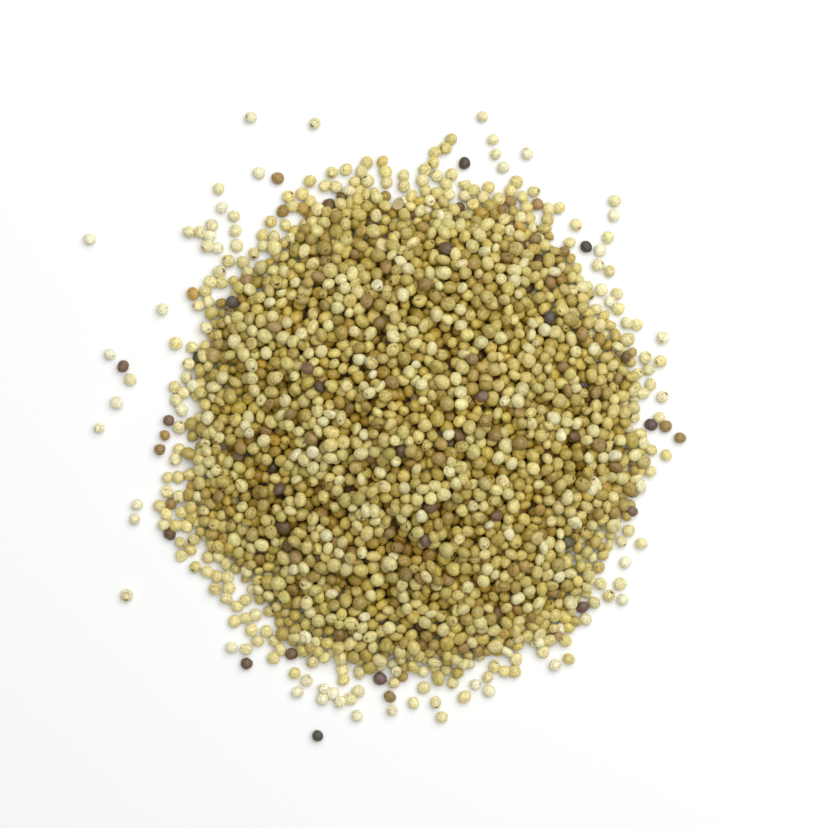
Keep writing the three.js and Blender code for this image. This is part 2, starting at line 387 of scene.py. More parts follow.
def floor_places(rng):
    """Places all over the floor under the heap, pushed apart until hardly any grains cross."""
    grain = math.pi / 4 * LOOSE_SIZE[0] * LOOSE_SIZE[1]
    spots = even_points(round(FLOOR_FILL * (2 * FIELD_REACH) ** 2 / grain)) * FIELD_REACH
    spots += rng.normal(0, FLOOR_SPREAD, spots.shape)
    limit = edge_radius(np.arctan2(spots[:, 1], spots[:, 0])) - FLOOR_INSET
    places = np.column_stack([spots, np.zeros(len(spots))])[np.hypot(*spots.T) < limit]
    for _ in range(FLOOR_ROUNDS):
        first, second = close_pairs(places, FLOOR_APART)
        gap = places[second] - places[first]
        distance = np.linalg.norm(gap, axis=1, keepdims=True)
        push = gap / distance * (FLOOR_APART - distance) / 2
        np.add.at(places, second, push)
        np.add.at(places, first, -push)
        limit = edge_radius(np.arctan2(places[:, 1], places[:, 0])) - FLOOR_INSET
        places *= np.minimum(1, limit / np.hypot(places[:, 0], places[:, 1]))[:, None]
    return places[:, :2]


# ---------------------------------------------------------------------------------------------
# The shell of grains, poured on in layers that each come to rest before the next.


def loose_sizes(rng, count):
    """Half sizes of loose grains: length, width and thickness. A few grains are slim."""
    smallest, largest = (limit * SIZE_SPREAD for limit in SIZE_LIMITS)
    size = 1 + np.clip(rng.normal(0, SIZE_SPREAD, count), smallest, largest)
    length = LOOSE_SIZE[0] * rng.uniform(*LENGTHS, count)
    width = LOOSE_SIZE[1] * rng.uniform(*WIDTHS, count)
    height = LOOSE_SIZE[2] * rng.uniform(*HEIGHTS, count)
    width = np.where(rng.random(count) < SLIM_SHARE, width * SLIM_WIDTH, width)
    return np.stack([length, width, height], axis=-1) / 2 * size[:, None]


def pour(rng, deep, shallow, spread, fill):
    """Loose grains that will fill the heap between two depths under its surface."""

    def thickness(x, y):
        steep = surface_normal(x, y)[:, 2]
        rim = RIM_FILL * reach_share(x, y) ** RIM_FALL
        level = surface_height(x, y) + rim - shallow / steep
        inside = np.hypot(x, y) < edge_radius(np.arctan2(y, x)) - OUTLINE_INSET
        return np.clip(level, 0, (deep - shallow) / steep) * inside

    filled = thickness(*(even_points(POUR_TESTS) * FIELD_REACH).T)
    volume = filled.mean() * (2 * FIELD_REACH) ** 2
    count = round(fill * volume / (math.pi / 6 * math.prod(LOOSE_SIZE)))
    spots = even_points(POUR_SPARE * count) * FIELD_REACH
    spots += rng.normal(0, spread, spots.shape)
    chance = thickness(*spots.T) / filled.max()
    chosen = spots[rng.random(len(spots)) < chance]
    spots = chosen[np.sort(rng.permutation(len(chosen))[:count])]
    normal = surface_normal(*spots.T)
    level = surface_height(*spots.T) - shallow / normal[:, 2]
    height = level + rng.uniform(*POUR_HEIGHTS, len(spots))
    place = np.column_stack([spots, np.maximum(height, GRAIN_HEIGHT / 2)])
    turn = rotation_to(normal) @ turns(rng, len(spots), LOOSE_TILT)
    return Grains(place, loose_sizes(rng, len(spots)), turn, np.zeros(len(spots), bool))


def shape_matrices(grains, power):
    return np.einsum("nij,nj,nkj->nik", grains.turn, grains.half**power, grains.turn)


def settle(grains):
    """Lets the grains that aren't still sink until they rest on others, the core or the
    floor."""
    outer, inner = shape_matrices(grains, 2), shape_matrices(grains, -2)
    place = grains.place.copy()
    free = ~grains.still
    below = np.sqrt(outer[:, 2, 2])
    weight = free.astype(float)
    for step in range(SETTLE_STEPS):
        if step % NEIGHBOUR_STEPS == 0:
            first, second = close_pairs(place, NEIGHBOUR_RANGE)
            shares = weight[first] + weight[second]
            moving = shares > 0
            first, second, shares = first[moving], second[moving], shares[moving]
        normal = surface_normal(place[:, 0], place[:, 1])
        slowing = max(0, 1 - step / (SETTLE_REST * SETTLE_STEPS))
        place[free] -= normal[free] * SETTLE_SPEED * slowing
        for _ in range(SETTLE_PUSHES):
            gap = place[second] - place[first]
            distance = np.linalg.norm(gap, axis=1) + TINY
            towards = gap / distance[:, None]
            apart = np.zeros(len(distance))
            for end in (first, second):
                flat = np.sqrt(np.einsum("ni,nij,nj->n", towards, outer[end], towards))
                through = 1 / np.sqrt(np.einsum("ni,nij,nj->n", towards, inner[end], towards))
                apart += (flat + through) / 2
            push = np.maximum(0, apart - distance) / shares * 2 * PUSH_SHARE
            for axis in range(3):
                part = push * towards[:, axis]
                place[:, axis] -= np.bincount(first, part * weight[first], len(place))
                place[:, axis] += np.bincount(second, part * weight[second], len(place))
            hold_inside(place, free, normal, below)
    return place


def hold_inside(place, free, normal, below):
    """Keeps the loose grains over the core, on the floor and within the outline."""
    x, y, z = place[free].T
    depth = (surface_height(x, y) - z) * normal[free, 2]
    lift = np.clip(depth, GRAIN_HEIGHT / 2 - HIGHEST, SHELL_DEPTH - GRAIN_HEIGHT / 2) - depth
    moved = place[free] - normal[free] * lift[:, None]
    reach = np.hypot(moved[:, 0], moved[:, 1])
    edge = edge_radius(np.arctan2(moved[:, 1], moved[:, 0])) - OUTLINE_INSET
    moved[:, :2] *= np.minimum(1, edge / reach)[:, None]
    moved[:, 2] = np.clip(moved[:, 2], below[free], CEILING - below[free])
    place[free] = moved


def poured_heap(rng, lying):
    """All the grains of the heap: those that lie still, and the layers poured over them."""
    grains = lying
    for layer in POURS:
        grains = together(grains, pour(rng, *layer))
        grains.place = settle(grains)
        grains.still[:] = True
    return grains


# ---------------------------------------------------------------------------------------------
# Which grains show.

LOOKS = [(0, 90)] + [(azimuth, 30) for azimuth in range(0, 360, 45)]
LOOK_STEP = 0.2
LOOK_REACH = 6
LOOK_SIDE = 600


def look_axes(azimuth, elevation):
    """The directions to the right, up and towards the viewer of a look from these angles."""
    a, e = math.radians(azimuth), math.radians(elevation)
    near = np.array([math.cos(e) * math.cos(a), math.cos(e) * math.sin(a), math.sin(e)])
    right = np.array([-math.sin(a), math.cos(a), 0])
    return np.array([right, np.cross(near, right), near])


def shown_shares(grains):
    """The most that shows of each grain's outline, in looks from above and from all sides."""
    steps = np.arange(-LOOK_REACH, LOOK_REACH + 1)
    offsets = np.stack(np.meshgrid(steps, steps), axis=-1).reshape(-1, 2)
    inner = shape_matrices(grains, -2)
    owners = np.repeat(np.arange(len(grains)), len(offsets)).reshape(len(grains), -1)
    shown = np.zeros(len(grains))
    for look in LOOKS:
        axes = look_axes(*look)
        place = grains.place @ axes.T
        shape = axes @ inner @ axes.T
        cells = np.floor(place[:, None, :2] / LOOK_STEP).astype(int) + offsets
        u, v = np.moveaxis((cells + 0.5) * LOOK_STEP - place[:, None, :2], -1, 0)
        uu, vv, ww, uv, uw, vw = (
            shape[:, i, j][:, None] for i, j in ((0, 0), (1, 1), (2, 2), (0, 1), (0, 2), (1, 2))
        )
        slope = uw * u + vw * v
        root = slope**2 - ww * (uu * u**2 + 2 * uv * u * v + vv * v**2 - 1)
        inside = root > 0
        level = (place[:, 2:] - slope / ww + np.sqrt(np.maximum(root, 0)) / ww)[inside]
        column, row = np.moveaxis(cells + LOOK_SIDE // 2, -1, 0)
        cell = (row * LOOK_SIDE + column)[inside]
        order = np.argsort(level)
        front = np.full(LOOK_SIDE**2, -1)
        front[cell[order]] = owners[inside][order]
        counts = np.bincount(front[front >= 0], minlength=len(grains))
        shown = np.maximum(shown, counts / inside.sum(1))
    return shown


# ---------------------------------------------------------------------------------------------
# Meshes of grains.

# Each side of the first icosahedron is cut into this many steps, for grains that show well, a
# little or hardly, and the least that shows of the first two. Then the share of a piece's map
# that a grain gets.
FINE, MEDIUM, COARSE = 4, 3, 1
FINE_SHOWN = 0.45
MEDIUM_SHOWN = 0.08
FLOOR_DETAIL = 2
MAP_SHARES = {FINE: 1.0, MEDIUM: 0.6, FLOOR_DETAIL: 0.25, COARSE: 0.1}
MAP_DISC = 0.36

# How each grain differs from a ball: the waves and sizes of its swellings, its taper to one
# end, its flatter face, and the dent at its scar, or hilum. A few grains have a chipped face.
SWELLINGS = [(1.6, 0.035), (3.2, 0.022)]
TAPERS = (0.0, 0.17)
FLATTER = (0.1, 0.3)
HILUM = np.array([0.70, 0.0, 0.714])
DENTS = (0.02, 0.12)
DENT_REACH = 0.3
CHIPPED_SHARE = 0.03
CHIPS_FROM = (0.35, 0.75)
NO_CHIP = 2
CHIP_FADE = 0.12


def sphere(steps):
    """The directions and the triangles of a ball, from an icosahedron."""
    signs = [(one, two) for one in (-1, 1) for two in (-1, 1)]
    corners = np.array(
        [np.roll((0, one, GOLDEN_RATIO * two), turn) for turn in range(3) for one, two in signs]
    )
    joined = np.isclose(np.linalg.norm(corners[:, None] - corners, axis=2), 2)
    found = {}
    triangles = []
    for a in range(len(corners)):
        for b in range(a):
            for c in range(b):
                if not (joined[a, b] and joined[b, c] and joined[c, a]):
                    continue
                outward = np.linalg.det(corners[[a, b, c]]) > 0
                one, two, three = corners[[a, b, c] if outward else [a, c, b]]

                def vertex(i, j):
                    point = (one * (steps - i - j) + two * i + three * j) / steps
                    return found.setdefault(tuple(np.round(point, 6)), len(found))

                for i in range(steps):
                    for j in range(steps - i):
                        triangles.append((vertex(i, j), vertex(i + 1, j), vertex(i, j + 1)))
                        if i + j < steps - 1:
                            far = vertex(i + 1, j + 1)
                            triangles.append((vertex(i + 1, j), far, vertex(i, j + 1)))
    points = np.array(list(found))
    return points / np.linalg.norm(points, axis=1, keepdims=True), np.array(triangles)


def ball_map(directions, triangles):
    """Where the triangles' corners lie on a flat map of the ball, two discs side by side."""
    corners = directions[triangles]
    side = np.where(corners[..., 2].mean(1) < 0, -1, 1)
    scale = MAP_DISC / np.sqrt(1 + side[:, None] * corners[..., 2])
    u = 1 + side[:, None] * 0.5 + corners[..., 0] * scale
    v = 0.5 + corners[..., 1] * scale
    return np.stack([u / 2, v], axis=-1)


def grain_shapes(rng, directions, grains):
    """The surface of each grain, in millimetres, and how far each point is on a chipped
    face."""
    count = len(grains)
    shape = np.repeat(directions[None], count, axis=0)
    swell = np.zeros(shape.shape[:2])
    for waves, size in SWELLINGS:
        wave = rng.normal(0, waves, (count, 3))
        phase = rng.uniform(0, FULL_TURN, count)
        swell += size * np.sin(np.einsum("nvi,ni->nv", shape, wave) + phase[:, None])
    shape *= 1 + swell[..., None]
    taper = rng.uniform(*TAPERS, count)[:, None]
    along, face = directions[:, 0], directions[:, 2]
    shape[..., 1] *= 1 - taper * along
    flat = rng.uniform(*FLATTER, count)[:, None]
    shape[..., 2] *= 1 - flat * np.clip(face, 0, 1) ** 2
    near = np.linalg.norm(directions - HILUM, axis=1)
    dent = rng.uniform(*DENTS, count)[:, None] * np.exp(-((near / DENT_REACH) ** 2))
    shape *= 1 - dent[..., None]
    shape -= (shape.max(1, keepdims=True) + shape.min(1, keepdims=True)) / 2
    shape /= shape.max(1, keepdims=True)
    chipped = rng.random(count) < CHIPPED_SHARE
    plane = rng.normal(0, 1, (count, 3))
    plane /= np.linalg.norm(plane, axis=1, keepdims=True)
    cut = np.where(chipped, rng.uniform(*CHIPS_FROM, count), NO_CHIP)
    over = np.maximum(0, np.einsum("nvi,ni->nv", shape, plane) - cut[:, None])
    shape -= over[..., None] * plane[:, None]
    chip = np.clip(over / CHIP_FADE, 0, 1)
    points = np.einsum("nij,nvj->nvi", grains.turn, shape * grains.half[:, None])
    return points, chip


def grains_mesh(rng, grains, tints, detail, on_floor=False):
    """The parts of a mesh of grains. Each vertex knows its grain's colour and its place on
    it."""
    directions, triangles = sphere(detail)
    points, chip = grain_shapes(rng, directions, grains)
    places = grains.place.copy()
    if on_floor:
        places[:, 2] = -points[..., 2].min(1)
    points += places[:, None]
    points[..., 2] = np.maximum(points[..., 2], 0)
    count, size = points.shape[:2]
    return {
        "count": count,
        "detail": detail,
        "points": (points * MM).reshape(-1, 3),
        "faces": (triangles[None] + (np.arange(count) * size)[:, None, None]).reshape(-1, 3),
        "tint": np.repeat(tints, size, axis=0),
        "spot": np.tile(directions, (count, 1)),
        "chip": chip.reshape(-1),
        "seed": np.repeat(rng.random(count), size),
        "map": ball_map(directions, triangles),
    }


def new_object(name, data):
    """A new object in the scene."""
    found = bpy.data.objects.new(name, data)
    bpy.context.scene.collection.objects.link(found)
    return found


def joined_map(parts):
    """Gives each grain a cell of the map, and each part a band of it."""
    weights = np.array([part["count"] * MAP_SHARES[part["detail"]] for part in parts])
    ends = np.cumsum([0, *(weights / weights.sum())])
    found = []
    for part, low, high in zip(parts, ends, ends[1:]):
        rows = math.ceil(math.sqrt(2 * part["count"] * (high - low)))
        columns = math.ceil(part["count"] / rows)
        row, column = np.divmod(np.arange(part["count"]), columns)
        u = (column[:, None, None] + part["map"][..., 0]) / columns
        v = low + (row[:, None, None] + part["map"][..., 1]) / rows * (high - low)
        found.append(np.stack([u, v], axis=-1).reshape(-1, 2))
    return np.concatenate(found)


def joined_mesh(name, parts):
    """A Blender object of several sets of grains."""
    parts = [part for part in parts if part["count"]]
    starts = np.cumsum([0] + [len(part["points"]) for part in parts])
    points = np.concatenate([part["points"] for part in parts])
    faces = np.concatenate([part["faces"] + start for part, start in zip(parts, starts)])
    mesh = bpy.data.meshes.new(name)
    mesh.vertices.add(len(points))
    mesh.vertices.foreach_set("co", points.astype(np.float32).ravel())
    mesh.loops.add(faces.size)
    mesh.loops.foreach_set("vertex_index", faces.astype(np.int32).ravel())
    mesh.polygons.add(len(faces))
    mesh.polygons.foreach_set("loop_start", np.arange(0, faces.size, 3, dtype=np.int32))
    mesh.polygons.foreach_set("use_smooth", np.ones(len(faces), bool))
    for key, kind, field in (
        ("tint", "FLOAT_VECTOR", "vector"),
        ("spot", "FLOAT_VECTOR", "vector"),
        ("chip", "FLOAT", "value"),
        ("seed", "FLOAT", "value"),
    ):
        values = np.concatenate([part[key] for part in parts]).astype(np.float32)
        mesh.attributes.new(key, kind, "POINT").data.foreach_set(field, values.ravel())
    bake_map = mesh.uv_layers.new(name="OFBake")
    bake_map.data.foreach_set("uv", joined_map(parts).astype(np.float32).ravel())
    mesh.update()
    return new_object(name, mesh)


# ---------------------------------------------------------------------------------------------
# Materials.


class Nodes:
    """Short calls for building a material's nodes."""

    def __init__(self, name):
        self.material = bpy.data.materials.new(name)
        self.material.use_nodes = True
        self.tree = self.material.node_tree
        self.tree.nodes.clear()

    def feed(self, socket, value):
        if isinstance(value, bpy.types.NodeSocket):
            self.tree.links.new(value, socket)
        else:
            socket.default_value = value

    def add(self, kind, inputs, **settings):
        node = self.tree.nodes.new(kind)
        for key, value in settings.items():
            setattr(node, key, value)
        for key, value in inputs.items():
            self.feed(node.inputs[key], value)
        return node

    def attribute(self, name, output):
        return self.add("ShaderNodeAttribute", {}, attribute_name=name).outputs[output]

    def vector(self, operation, inputs):
        return self.add("ShaderNodeVectorMath", inputs, operation=operation).outputs

    def some(self, seed, salt):
        """Another random number for each grain, from 0 to 1."""
        return self.math("FRACT", self.math("MULTIPLY", seed, salt))

    def math(self, operation, *values):
        inputs = dict(enumerate(values))
        return self.add("ShaderNodeMath", inputs, operation=operation).outputs[0]

    def noise(self, where, scale, detail):
        inputs = {"Vector": where, "Scale": scale, "Detail": detail}
        return self.add("ShaderNodeTexNoise", inputs).outputs["Fac"]

    def between(self, value, low, high, start=0.0, end=1.0):
        inputs = {"Value": value, "From Min": low, "From Max": high}
        inputs.update({"To Min": start, "To Max": end})
        node = self.add("ShaderNodeMapRange", inputs, interpolation_type="SMOOTHSTEP")
        return node.outputs["Result"]

    def mix(self, share, first, second, blend="MIX"):
        inputs = {0: share, 6: first, 7: second}
        return self.add("ShaderNodeMix", inputs, data_type="RGBA", blend_type=blend).outputs[2]

    def finish(self, colour, height, strength, distance, **looks):
        relief = {"Height": height, "Strength": strength, "Distance": distance}
        normal = self.add("ShaderNodeBump", relief).outputs["Normal"]
        inputs = {"Base Color": colour, "Normal": normal}
        inputs.update((key.replace("_", " "), value) for key, value in looks.items())
        shader = self.add("ShaderNodeBsdfPrincipled", inputs)
        self.add("ShaderNodeOutputMaterial", {"Surface": shader.outputs[0]})
        return self.material


# A material's ranges give where a change starts and ends, and what it goes from and to. A
# noise has its scale and its detail, and a bump its strength and its height in metres. The
# salts make a grain's random numbers differ from each other.
STARCH = (0.86, 0.80, 0.46, 1)
PALER = (1.10, 1.12, 1.18, 1)
PATTERNS_APART = (17.0, 11.0, 23.0)
PATTERNS_REACH = 40.0
FINE_NOISE = (5.0, 3.0)
FINE_SHADES = (0.3, 0.7, 0.82, 1.08)
MOTTLE_NOISE = (2.3, 3.0)
MOTTLE_SHADES = (0.3, 0.7, 0.78, 1.09)
BLOTCH_NOISE = (1.1, 2.0)
BLOTCH_RANGE = (0.35, 0.68)
STARCH_SHARE = 0.3
SKIN_BUMP = (0.7, 0.00009)
SKIN_RADIUS = (0.85, 0.66, 0.30)
SKIN_SCALE = 0.0005
SKIN_GLOSS = 0.5

LINE = (0.70, 0.56, 0.30, 1)
LINE_MIDDLE = 0.16
LINE_SIZE = (0.66, 0.50)
LINE_EDGE = (0.02, 0.26, 1.0, 0.0)
LINE_FACE = (0.1, 0.35)
LINE_NOISE = (1.7, 2.0)
LINE_BREAKS = (0.38, 0.58)
LINE_PICK = (0.15, 0.8)
LINE_SALT = 7.31

SCAR = (0.055, 0.032, 0.014, 1)
SCAR_SHAPE = (1.6, 0.8, 1.6)
SCAR_WOBBLE = 0.45
SCAR_SIZES = (0.1, 0.85, -0.08, 0.34)
SCAR_SIZE_SALT = 13.7
SCAR_EDGE = (-0.12, 0.09, 1.0, 0.0)
SCAR_DEPTHS = (0.0, 1.0, 0.55, 1.0)
SCAR_DEPTH_SALT = 5.9

# Painted shade: the core is coloured warm dark brown to stand in for the shadow deep in the
# heap.
PAINTED_SHADE_COLOURS = [(0.10, 0.050, 0.014, 1), (0.24, 0.145, 0.045, 1)]
DEPTH_NOISE = (600.0, 3.0)
DEPTH_SHADES = (0.35, 0.7)
DEPTH_BUMP = (0.6, 0.0003)
DEPTH_ROUGHNESS = 0.8


def germ_line(nodes, spot, where, seed):
    """The broken oval line round the germ, on the flatter face, stronger on some grains."""
    x, y, z = nodes.add("ShaderNodeSeparateXYZ", {0: spot}).outputs
    across = nodes.math("DIVIDE", y, LINE_SIZE[1])
    along = nodes.math("DIVIDE", nodes.math("SUBTRACT", x, LINE_MIDDLE), LINE_SIZE[0])
    squares = [nodes.math("MULTIPLY", value, value) for value in (across, along)]
    oval = nodes.math("SQRT", nodes.math("ADD", *squares))
    beside = nodes.math("ABSOLUTE", nodes.math("SUBTRACT", oval, 1.0))
    line = nodes.between(beside, *LINE_EDGE)
    for share in (
        nodes.between(z, *LINE_FACE),
        nodes.between(nodes.noise(where, *LINE_NOISE), *LINE_BREAKS),
        nodes.between(nodes.some(seed, LINE_SALT), *LINE_PICK),
    ):
        line = nodes.math("MULTIPLY", line, share)
    return line


def scar_mask(nodes, spot, fine, seed):
    """The dark scar at one end of the germ, of another size on each grain and missing on
    many."""
    gap = nodes.vector("SUBTRACT", {0: spot, 1: tuple(HILUM)})[0]
    oval = nodes.vector("MULTIPLY", {0: gap, 1: SCAR_SHAPE})[0]
    apart = nodes.vector("LENGTH", {0: oval})["Value"]
    wobble = nodes.math("MULTIPLY", nodes.math("SUBTRACT", fine, 0.5), SCAR_WOBBLE)
    size = nodes.between(nodes.some(seed, SCAR_SIZE_SALT), *SCAR_SIZES)
    edge = nodes.math("SUBTRACT", nodes.math("ADD", apart, wobble), size)
    depth = nodes.between(nodes.some(seed, SCAR_DEPTH_SALT), *SCAR_DEPTHS)
    return nodes.math("MULTIPLY", nodes.between(edge, *SCAR_EDGE), depth)


def grain_material(name, roughness, subsurface, scar):
    """The skin of a grain: mottled, a line round the germ, a dark scar and starch on chips."""
    nodes = Nodes(name)
    tint = nodes.attribute("tint", "Color")
    spot = nodes.attribute("spot", "Vector")
    seed = nodes.attribute("seed", "Fac")
    chip = nodes.attribute("chip", "Fac")
    far = nodes.math("MULTIPLY", seed, PATTERNS_REACH)
    offset = nodes.vector("SCALE", {0: PATTERNS_APART, 3: far})[0]
    where = nodes.vector("ADD", {0: spot, 1: offset})[0]
    fine = nodes.noise(where, *FINE_NOISE)
    mottle = nodes.noise(where, *MOTTLE_NOISE)
    blotch = nodes.between(nodes.noise(where, *BLOTCH_NOISE), *BLOTCH_RANGE)
    colour = nodes.mix(blotch, tint, nodes.mix(1.0, tint, PALER, "MULTIPLY"))
    colour = nodes.mix(1.0, colour, nodes.between(mottle, *MOTTLE_SHADES), "MULTIPLY")
    colour = nodes.mix(1.0, colour, nodes.between(fine, *FINE_SHADES), "MULTIPLY")
    line = germ_line(nodes, spot, where, seed)
    colour = nodes.mix(line, colour, nodes.mix(1.0, colour, LINE, "MULTIPLY"))
    scarred = nodes.math("MULTIPLY", scar_mask(nodes, spot, fine, seed), scar)
    colour = nodes.mix(scarred, colour, SCAR)
    colour = nodes.mix(nodes.math("MULTIPLY", chip, STARCH_SHARE), colour, STARCH)
    dips = nodes.math("ADD", line, scarred)
    height = nodes.math("SUBTRACT", nodes.math("ADD", fine, mottle), dips)
    return nodes.finish(
        colour,
        height,
        *SKIN_BUMP,
        Roughness=roughness,
        Subsurface_Weight=subsurface,
        Subsurface_Radius=SKIN_RADIUS,
        Subsurface_Scale=SKIN_SCALE,
        Specular_IOR_Level=SKIN_GLOSS,
    )


def core_material():
    """Painted shade: the core's warm dark brown stands in for the shadow deep in the heap,
    where grains show only as shades.
    """
    nodes = Nodes("painted_shade_core")
    where = nodes.add("ShaderNodeTexCoord", {}).outputs["Object"]
    shade = nodes.between(nodes.noise(where, *DEPTH_NOISE), *DEPTH_SHADES)
    colour = nodes.mix(shade, *PAINTED_SHADE_COLOURS)
    return nodes.finish(colour, shade, *DEPTH_BUMP, Roughness=DEPTH_ROUGHNESS)


# ---------------------------------------------------------------------------------------------
# The kinds of grain.


class Kind(NamedTuple):
    """Its share of the heap, its colour and how that varies, then its skin: how rough it is,
    how much light goes through, and how dark the scar is."""

    share: float
    colour: tuple
    spread: float
    roughness: float
    subsurface: float
    scar: float
    slot: str = "mixed_grain"


KINDS = {
    "white": Kind(0.06, (0.79, 0.725, 0.41), 0.03, 0.36, 0.15, 0.9),
    "cream": Kind(0.19, (0.745, 0.66, 0.31), 0.05, 0.34, 0.2, 1.0),
    "butter": Kind(0.18, (0.712, 0.615, 0.253), 0.06, 0.34, 0.2, 1.0),
    "straw": Kind(0.16, (0.65, 0.546, 0.19), 0.07, 0.34, 0.25, 1.0),
    "khaki": Kind(0.14, (0.573, 0.468, 0.145), 0.08, 0.34, 0.3, 1.0),
    "olive": Kind(0.12, (0.482, 0.379, 0.098), 0.08, 0.34, 0.35, 1.0),
    "honey": Kind(0.08, (0.415, 0.30, 0.07), 0.09, 0.33, 0.4, 0.9),
    "tan": Kind(0.038, (0.35, 0.23, 0.072), 0.12, 0.40, 0.3, 0.8, "tan_grain"),
    "amber": Kind(0.007, (0.52, 0.35, 0.07), 0.08, 0.32, 0.4, 0.8),
    "brown": Kind(0.02, (0.17, 0.105, 0.055), 0.18, 0.44, 0.1, 0.6, "brown_grain"),
    "dark": Kind(0.006, (0.095, 0.08, 0.058), 0.25, 0.46, 0.0, 0.0, "dark_grain"),
}

# Towards the foot and apart from the heap the photograph's grains are paler. The tints fade
# from this share of the way out, over this much more, and the kinds change past the outline.
PALER_KINDS = {"straw": "cream", "khaki": "cream", "olive": "butter", "honey": "straw"}
FADED = np.array([1.15, 1.18, 1.38])
FADED_FROM = 0.89
FADED_STEP = 0.1
STRAY_KINDS = {
    "pale": ["white", "cream"],
    "tan": ["tan"],
    "brown": ["brown"],
    "dark": ["dark"],
}

# Painted shade: grains are tinted to darken and yellow with their depth, in millimetres, under
# the grains that show near them, standing in for the shadow between them. Then how a grain's
# colours vary, and their limits.
PAINTED_SHADE_TINT = np.array([0.88, 0.79, 0.46])
DEEP_REACH = 4.0
DEEP_FROM = -0.42
DEEP_STEP = 1.0
DEEP_MOST = 2.0
HUE_SPREAD = np.array([0.1, 0.12, 1.0])
TINT_LIMITS = (0.01, 0.93)


def kind_tints(rng, kinds):
    """A colour for each grain, near its kind's own."""
    colour = np.array([KINDS[kind].colour for kind in kinds]).reshape(-1, 3)
    spread = np.array([KINDS[kind].spread for kind in kinds])[:, None]
    value = 1 + spread * rng.normal(0, 1, (len(kinds), 1))
    hue = 1 + spread * HUE_SPREAD * rng.normal(0, 1, (len(kinds), 3))
    return np.clip(colour * value * hue, *TINT_LIMITS)


MATERIALS = {}


def kind_material(name):
    if name not in MATERIALS:
        kind = KINDS[name]
        looks = kind.roughness, kind.subsurface, kind.scar
        MATERIALS[name] = grain_material(f"{name}_grain_skin", *looks)
    return MATERIALS[name]


def dress(piece, material, nodes):
    piece.data.materials.append(material)
    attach(piece, "root")
    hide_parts(*nodes)


# ---------------------------------------------------------------------------------------------
# The core, in millimetres.

CORE_RINGS = 36
CORE_SIDES = 6 * CORE_RINGS
CORE_UNDER = 1.0
CORE_GAP = 0.25
CORE_LUMP = 0.3
CORE_LUMP_PITCH = 1.9
CORE_SEARCH = 24


def core_level(x, y):
    """The height of the core's top."""
    top = surface_height(x, y) - (SHELL_DEPTH + CORE_GAP) / surface_normal(x, y)[:, 2]
    turn = FULL_TURN / CORE_LUMP_PITCH
    return top + CORE_LUMP * np.cos(turn * x) * np.cos(turn * y)


def core_piece():
    """A lumpy dome under the shell, with a flat underside that rests on the floor's grains."""
    around = CORE_SIDES
    bearing = np.arange(around) * FULL_TURN / around
    near, far = np.zeros(around), edge_radius(bearing)
    for _ in range(CORE_SEARCH):
        middle = (near + far) / 2
        high = core_level(middle * np.cos(bearing), middle * np.sin(bearing)) > CORE_UNDER
        near, far = np.where(high, middle, near), np.where(high, far, middle)
    points = [(0, 0, core_level(np.zeros(1), np.zeros(1))[0]), (0, 0, CORE_UNDER)]
    for ring in range(1, CORE_RINGS + 1):
        x, y = near * ring / CORE_RINGS * (np.cos(bearing), np.sin(bearing))
        level = np.maximum(core_level(x, y), CORE_UNDER)
        points += zip(x, y, level if ring < CORE_RINGS else np.full(around, CORE_UNDER))
    faces = []
    for place in range(around):
        after = (place + 1) % around
        faces.append((0, 2 + place, 2 + after))
        for ring in range(CORE_RINGS - 1):
            here = 2 + ring * around
            there = here + around
            faces.append((here + place, there + place, there + after, here + after))
        last = 2 + (CORE_RINGS - 1) * around
        faces.append((1, last + after, last + place))
    mesh = bpy.data.meshes.new("heap_core")
    mesh.from_pydata((np.array(points) * MM).tolist(), [], faces)
    mesh.polygons.foreach_set("use_smooth", np.ones(len(faces), bool))
    mesh.update()
    return new_object("heap_core", mesh)


# ---------------------------------------------------------------------------------------------
# The pieces.


def stray_nodes(kind):
    return sorted(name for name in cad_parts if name.startswith(f"stray_{kind}_grain"))


def heap_grains(rng, apart):
    """All the grains of the heap, and how many of them lie on the floor under it."""
    foot = foot_places(apart)
    more = more_foot_places(rng, foot + apart)
    beneath = floor_places(rng)
    tops = top_places()
    count = len(beneath)
    widths = rng.uniform(*FLOOR_WIDTHS, count)
    floor = lying_grains(rng, beneath, widths, widths * GRAIN_HEIGHT / GRAIN_WIDTH)
    first = len(foot)
    edge = lying_grains(rng, np.array(foot), *numbered_sizes(0, first))
    near = lying_grains(rng, np.array(more), *numbered_sizes(first + TOP_GRAINS, len(more)))
    crown = lying_grains(rng, tops, *numbered_sizes(first, TOP_GRAINS))
    crown.turn = rotation_to(surface_normal(*tops.T)) @ turns(rng, TOP_GRAINS, TOP_TILT)
    crown.place[:, 2] += surface_height(*tops.T) - TOP_SUNK
    return poured_heap(rng, together(floor, edge, near, crown)), count


def depths(grains, shown):
    """How much deeper each grain lies than the grains that show near it."""
    x, y, z = grains.place.T
    depth = (surface_height(x, y) - z) * surface_normal(x, y)[:, 2]
    tops = shown > FINE_SHOWN
    gap = np.hypot(x[:, None] - x[tops], y[:, None] - y[tops])
    weight = np.exp(-((gap / DEEP_REACH) ** 2))
    return depth - weight @ depth[tops] / weight.sum(1)


